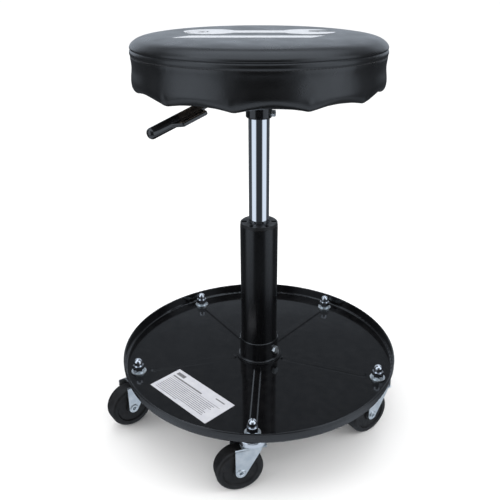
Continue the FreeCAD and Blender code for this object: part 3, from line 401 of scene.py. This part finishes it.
# --- mesh helpers -----------------------------------------------------------------------------------

def new_piece(name, vertices, faces, material):
    mesh = bpy.data.meshes.new(name)
    mesh.from_pydata([tuple(v) for v in vertices], [], faces)
    mesh.validate()
    mesh.polygons.foreach_set("use_smooth", [True] * len(mesh.polygons))
    mesh.materials.append(material)
    piece = bpy.data.objects.new(name, mesh)
    bpy.context.collection.objects.link(piece)
    return piece


def catmull(points, gap):
    """Smooth line through the points, with its own points at most gap apart."""
    points = [Vector(p) for p in points]
    ends = [2 * points[0] - points[1]] + points + [2 * points[-1] - points[-2]]
    line = []
    for before, start, end, after in zip(ends, ends[1:], ends[2:], ends[3:]):
        count = max(1, math.ceil((end - start).length / gap))
        for step in range(count):
            t = step / count
            line.append(0.5 * (2 * start + (end - before) * t
                               + (2 * before - 5 * start + 4 * end - after) * t * t
                               + (3 * start - before - 3 * end + after) * t ** 3))
    return line + [points[-1]]


def lathe(name, outline, count, material):
    """Closed turned mesh. The outline goes from the axis and back to it, as (radius, height) points."""
    inner = outline[1:-1]
    vertices = [(0, 0, outline[0][1])]
    for radius, height in inner:
        for step in range(count):
            angle = 2 * math.pi * step / count
            vertices.append((radius * math.cos(angle), radius * math.sin(angle), height))
    vertices.append((0, 0, outline[-1][1]))
    last = len(vertices) - 1
    faces = []
    for step in range(count):
        after = (step + 1) % count
        faces.append((0, 1 + step, 1 + after))
        for row in range(len(inner) - 1):
            here, below = 1 + row * count, 1 + (row + 1) * count
            faces.append((here + step, below + step, below + after, here + after))
        bottom = 1 + (len(inner) - 1) * count
        faces.append((last, bottom + after, bottom + step))
    return new_piece(name, vertices, faces, material)


def smoothstep(low, high, value):
    t = min(max((value - low) / (high - low), 0), 1)
    return t * t * (3 - 2 * t)


def surface_of(piece):
    """Search tree over the piece's final mesh."""
    graph = bpy.context.evaluated_depsgraph_get()
    return BVHTree.FromObject(piece, graph)


# --- seat cushion -----------------------------------------------------------------------------------

# where the side band is folded under and stapled in a tuck, in degrees round from +X
TUCKS = [25, 58, 90, 123, 157, 192, 228, 260, 291, 321, 352]
UNDER = SEAT_LOW[2]
EDGE = UNDER + 4 * MM
SEAM = SEAT_TOP - 14.7 * MM
STITCH_ROW = SEAT_TOP - 21.8 * MM


def cushion_outline():
    """Half section: crown, rolled edge, seam, stitched allowance, side band, fold under, board's seat."""
    skin = [(SEAT_RADIUS + out * MM, SEAT_TOP + up * MM) for out, up in (
        (-60, 1.1), (-42, 0.8), (-27, -0.4), (-15, -2.4), (-8, -4.8), (-3.2, -8.2), (-0.9, -11.4),
        (-0.5, -13.2), (-1.5, -14.3), (-2.1, -14.7), (-1.3, -15.3), (-0.5, -16.5), (-0.3, -18.5),
        (-0.5, -20.2), (-1.1, -21.2), (-1.5, -21.8), (-1.3, -22.6), (-1.1, -24.5), (-1.7, -29),
        (-2, -34), (-1.7, -39), (-1, -44), (-0.4, -49), (-0.4, -53), (-1.1, -57), (-3, -60.4),
        (-5.8, -62.8), (-9, -63.9), (-12, -64.2))]
    rim = catmull(skin, 3.4 * MM)
    centre = [(radius * MM, SEAT_TOP + 1.2 * MM) for radius in (0, 12, 30, 50, 70, 85)]
    lip_top = UNDER + 1.1 * MM
    lip_end = BOARD_RADIUS - 26 * MM
    lip_corner = 0.5 * MM
    wall = BOARD_RADIUS + 0.3 * MM
    ceiling = BOARD_HIGH[2] + 0.1 * MM
    corner = 1 * MM
    under = [(lip_end + lip_corner, UNDER), (lip_end, UNDER + lip_corner), (lip_end + lip_corner, lip_top),
             (wall - corner, lip_top), (wall, lip_top + corner), (wall, ceiling - corner),
             (wall - corner, ceiling), (100 * MM, ceiling), (0, ceiling)]
    return centre + [tuple(p) for p in rim] + under


def tuck_nearness(angle):
    """1 at a tuck and 0 half-way between two, with the angle to the nearest tuck, in degrees."""
    offsets = [(angle - tuck + 180) % 360 - 180 for tuck in TUCKS]
    nearest = min(offsets, key=abs)
    gaps = sorted(abs(offset) for offset in offsets)
    share = gaps[0] / (gaps[0] + gaps[1])
    sharpness = 1.6
    return (1 - 2 * share) ** sharpness, nearest


def is_skin(point):
    """Whether a point is on the cushion's outside and not in the hollow that takes the board."""
    radius = math.hypot(point.x, point.y)
    return radius > BOARD_RADIUS + 0.8 * MM or point.z > BOARD_HIGH[2] + 2 * MM


def held_share(point):
    """How firmly the cloth is held there: by the foam's crown, the seams, the staples and the tucks."""
    on_crown = math.hypot(point.x, point.y) < SEAT_RADIUS - 20 * MM and point.z > SEAM
    if on_crown or not is_skin(point):
        return 1.0
    seam = smoothstep(6 * MM, 3.5 * MM, abs(point.z - (SEAM + STITCH_ROW) / 2))
    near, _ = tuck_nearness(math.degrees(math.atan2(point.y, point.x)))
    fold = smoothstep(EDGE + 5 * MM, EDGE - 2 * MM, point.z)
    tuck = smoothstep(0.55, 0.95, near) * smoothstep(EDGE + 16 * MM, EDGE, point.z)
    return max(seam, fold, tuck)


def inflate(piece, pressure, reach):
    """Swell the piece by cloth simulation, and let no point move further than reach."""
    start = [vertex.co.copy() for vertex in piece.data.vertices]
    grip = piece.vertex_groups.new(name="grip")
    for index, point in enumerate(start):
        share = held_share(point)
        if share > 0.01:
            grip.add([index], share, "REPLACE")
    modifier = piece.modifiers.new("cloth", "CLOTH")
    cloth = modifier.settings
    cloth.quality = 6
    cloth.mass = 0.3
    cloth.tension_stiffness = 25
    cloth.compression_stiffness = 25
    cloth.shear_stiffness = 12
    cloth.bending_stiffness = 1.5
    cloth.use_pressure = True
    cloth.uniform_pressure_force = pressure
    cloth.vertex_group_mass = "grip"
    cloth.effector_weights.gravity = 0
    modifier.collision_settings.use_collision = False
    moments = 20
    modifier.point_cache.frame_end = moments
    scene = bpy.context.scene
    for moment in range(1, moments + 1):
        scene.frame_set(moment)
    graph = bpy.context.evaluated_depsgraph_get()
    swollen = piece.evaluated_get(graph).data
    for vertex, after, before in zip(piece.data.vertices, swollen.vertices, start):
        step = after.co - before
        vertex.co = before + step * min(1, reach / max(step.length, 1e-9))
    piece.modifiers.remove(modifier)
    piece.vertex_groups.remove(grip)
    scene.frame_set(1)


def bulge(place, centre, width):
    """Bell curve that is 1 at its centre."""
    return math.exp(-((place - centre) / width) ** 2)


def crease_section(along):
    """Height of the skin across a tuck: a low ridge on one side and a groove on the other."""
    ridge = 0.7 * MM * bulge(along, -3.5 * MM, 3.4 * MM)
    groove = 0.9 * MM * bulge(along, 2.5 * MM, 2.4 * MM)
    return ridge - groove


def unevenness(point, angle):
    """Small swells of the skin, weaker above the seam, and a pucker just under the stitches."""
    band = smoothstep(SEAM - 4 * MM, STITCH_ROW - 4 * MM, point.z)
    swell = noise.noise(point * 22) * 0.5 * MM + noise.noise(point * 60) * 0.15 * MM
    pucker = 0.3 * MM * bulge(point.z, STITCH_ROW - 3 * MM, 5 * MM)
    return swell * (0.3 + 0.7 * band) + pucker * noise.noise(Vector((angle * 0.8, 0, 3)))


def gather(piece):
    """Pull the lower edge up between the tucks, crease the band at each tuck, and unsettle the skin."""
    lift = 2.7 * MM
    drop = 3.6 * MM
    tightening = 1.0 * MM
    board_edge = BOARD_RADIUS + 0.5 * MM
    for vertex in piece.data.vertices:
        point = vertex.co
        radius = math.hypot(point.x, point.y)
        if not is_skin(point) or radius < board_edge:
            continue
        angle = math.degrees(math.atan2(point.y, point.x))
        near, offset = tuck_nearness(angle)
        edge = smoothstep(EDGE + 11 * MM, EDGE - 2 * MM, point.z)
        free = smoothstep(board_edge, BOARD_RADIUS + 5 * MM, radius)
        height = edge * free * (lift * (1 - near) - drop * near)
        crease = smoothstep(EDGE + 12 * MM, EDGE, point.z) * free
        pull = crease * crease_section(math.radians(offset) * radius) - edge * tightening * (1 - near)
        pull += unevenness(point, angle)
        out = Vector((point.x / radius, point.y / radius, 0))
        vertex.co = point + out * pull + Vector((0, 0, height))


def make_cushion(finishes):
    """Cover and foam as one stuffed form that sits over the board."""
    cushion = lathe("seat_cushion", cushion_outline(), count=264, material=finishes["vinyl"])
    inflate(cushion, pressure=4.0, reach=3.0 * MM)
    gather(cushion)
    rounding = cushion.modifiers.new("rounding", "SUBSURF")
    rounding.levels = 1
    rounding.render_levels = 1
    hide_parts("seat_cover", "seat_foam")
    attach(cushion, "seat")
    return cushion


def add_stitch(vertices, faces, centre, along, out, length, radius):
    """One thread loop: a capsule that lies along the surface with its ends sunk in."""
    side = along.cross(out).normalized()
    # each row is a ring, given by its share of the length and its share of the radius
    rows = [(-0.5, 0.35), (-0.38, 0.8), (-0.15, 1.0), (0.15, 1.0), (0.38, 0.8), (0.5, 0.35)]
    corners = 8
    first = len(vertices)
    for share, girth in rows:
        middle = centre + along * (length * share) + out * (radius * (girth - 0.85))
        for step in range(corners):
            angle = 2 * math.pi * step / corners
            vertices.append(middle + (side * math.cos(angle) + out * math.sin(angle)) * radius * girth)
    for row in range(len(rows) - 1):
        start = first + row * corners
        for step in range(corners):
            here, after = start + step, start + (step + 1) % corners
            faces.append((here, after, after + corners, here + corners))
    last = first + (len(rows) - 1) * corners
    faces.append(tuple(first + step for step in reversed(range(corners))))
    faces.append(tuple(last + step for step in range(corners)))


def make_stitches(cushion):
    """Topstitch round the side, just under the seam."""
    surface = surface_of(cushion)
    count = 232
    vertices, faces = [], []
    for index in range(count):
        angle = 2 * math.pi * (index + 0.15 * noise.noise(Vector((index * 0.7, 0, 0)))) / count
        out = Vector((math.cos(angle), math.sin(angle), 0))
        along = Vector((-math.sin(angle), math.cos(angle), 0.03 * noise.noise(Vector((index * 0.9, 5, 0)))))
        start = out * (SEAT_RADIUS + 10 * MM) + Vector((0, 0, STITCH_ROW))
        spot = surface.ray_cast(start, -out)[0]
        add_stitch(vertices, faces, spot, along.normalized(), out, length=3.3 * MM, radius=0.42 * MM)
    stitches = new_piece("seat_topstitch", vertices, faces, thread())
    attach(stitches, "seat")


# --- printed pieces ----------------------------------------------------------------------------------

def arc(centre, radius, start, end, count=14):
    """Points round a circle from one angle to another, in degrees."""
    angles = [math.radians(start + (end - start) * step / count) for step in range(count + 1)]
    return [(centre[0] + radius * math.cos(a), centre[1] + radius * math.sin(a)) for a in angles]


def placed(outline, shift, turn=0.0):
    """The outline turned by that many degrees round the origin, then shifted."""
    c, s = math.cos(math.radians(turn)), math.sin(math.radians(turn))
    return [(shift[0] + x * c - y * s, shift[1] + x * s + y * c) for x, y in outline]


def spanner_outline(length, head, grip, jaw):
    """Double open-ended spanner along X, with its middle at the origin; each jaw is tilted."""
    centre = (length / 2 - head, 0)
    neck = math.degrees(math.asin(grip / head))
    mouth = math.degrees(math.asin(jaw / head))
    tilt = 15.0
    floor = head * 0.15
    throat = placed([(floor, -jaw), (floor - jaw * 0.4, 0), (floor, jaw)], centre, turn=tilt)
    half = (arc(centre, head, -180 + neck, tilt - mouth) + throat
            + arc(centre, head, tilt + mouth, 180 - neck))
    return half + [(-x, -y) for x, y in half]


def flat_piece(name, outlines, height_at, material, thickness, grid=5 * MM):
    """Thin sheet cut to the outlines and laid on a surface; height_at gives the surface's height."""
    mesh = bmesh.new()
    for outline in outlines:
        mesh.faces.new([mesh.verts.new((x, y, 0)) for x, y in outline])
    low = [min(v.co[axis] for v in mesh.verts) for axis in (0, 1)]
    high = [max(v.co[axis] for v in mesh.verts) for axis in (0, 1)]
    bmesh.ops.triangulate(mesh, faces=mesh.faces[:])
    for axis in (0, 1):
        cut = low[axis] + grid
        while cut < high[axis]:
            spot, normal = [0, 0, 0], [0, 0, 0]
            spot[axis], normal[axis] = cut, 1
            bmesh.ops.bisect_plane(mesh, geom=mesh.verts[:] + mesh.edges[:] + mesh.faces[:],
                                   plane_co=spot, plane_no=normal, dist=1e-6)
            cut += grid
    bmesh.ops.recalc_face_normals(mesh, faces=mesh.faces[:])
    if mesh.faces[:][0].normal.z < 0:
        bmesh.ops.reverse_faces(mesh, faces=mesh.faces[:])
    top = bmesh.ops.extrude_face_region(mesh, geom=mesh.faces[:])
    raised = {item for item in top["geom"] if isinstance(item, bmesh.types.BMVert)}
    for vertex in mesh.verts:
        vertex.co.z = height_at(vertex.co.x, vertex.co.y) + (thickness if vertex in raised else 0)
    bmesh.ops.recalc_face_normals(mesh, faces=mesh.faces[:])
    data = bpy.data.meshes.new(name)
    mesh.to_mesh(data)
    mesh.free()
    data.materials.append(material)
    piece = bpy.data.objects.new(name, data)
    bpy.context.collection.objects.link(piece)
    return piece


def make_seat_print(cushion):
    """Plain white pictogram on the crown: a spanner over a slanted bar."""
    surface = surface_of(cushion)

    def crown(x, y):
        spot = surface.ray_cast(Vector((x, y, SEAT_TOP + 20 * MM)), Vector((0, 0, -1)))[0]
        return spot.z + 0.02 * MM

    spanner = spanner_outline(length=192 * MM, head=34 * MM, grip=15 * MM, jaw=13 * MM)
    bar = [(-100 * MM, -60 * MM), (60 * MM, -60 * MM), (78 * MM, -36 * MM), (-82 * MM, -36 * MM)]
    outlines = [placed(spanner, (0, 16 * MM)), bar]
    printed = flat_piece("seat_print", outlines, crown, print_ink(), thickness=0.12 * MM)
    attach(printed, "seat")


def make_tray_label():
    """Blank-form sticker on the tray's floor, with ruled bars where a form would have lines."""
    centre, turn = (-93.6 * MM, -103.7 * MM), -45.0
    length, width = 119 * MM, 53 * MM

    def rectangle(x, y, wide, tall):
        corners = [(x, y), (x + wide, y), (x + wide, y + tall), (x, y + tall)]
        return placed(corners, centre, turn=turn)

    top = TRAY_FLOOR + 0.02 * MM
    paper_thickness = 0.12 * MM
    sheet = rectangle(-length / 2, -width / 2, length, width)
    paper = flat_piece("tray_label", [sheet], lambda x, y: top, label_paper(), paper_thickness, grid=20 * MM)
    left = -length / 2 + 6 * MM
    bars = [rectangle(left, 15.5 * MM, 17 * MM, 6 * MM),
            rectangle(left, 9.5 * MM, 62 * MM, 2.6 * MM),
            rectangle(left + 84 * MM, 17 * MM, 18 * MM, 2 * MM),
            rectangle(left, 6.6 * MM, 104 * MM, 0.7 * MM)]
    rows, pitch = 9, 3.1 * MM
    for row in range(rows):
        wide = (98 - 13 * abs(noise.noise(Vector((row * 1.7, 0.5, 0))))) * MM
        if row == rows - 1:
            wide = 46 * MM
        bars.append(rectangle(left, 3.0 * MM - row * pitch, wide, 1.0 * MM))
    above = top + paper_thickness + 0.01 * MM
    lines = flat_piece("tray_label_lines", bars, lambda x, y: above, label_ink(), thickness=0.03 * MM,
                       grid=20 * MM)
    for piece in (paper, lines):
        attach(piece, "base")


# --- the scene ---------------------------------------------------------------------------------------

make_camera()
make_world()
make_lights()
make_floor()
all_finishes = make_finishes()
paint_frame(all_finishes)
seat = make_cushion(all_finishes)
make_stitches(seat)
make_seat_print(seat)
make_tray_label()
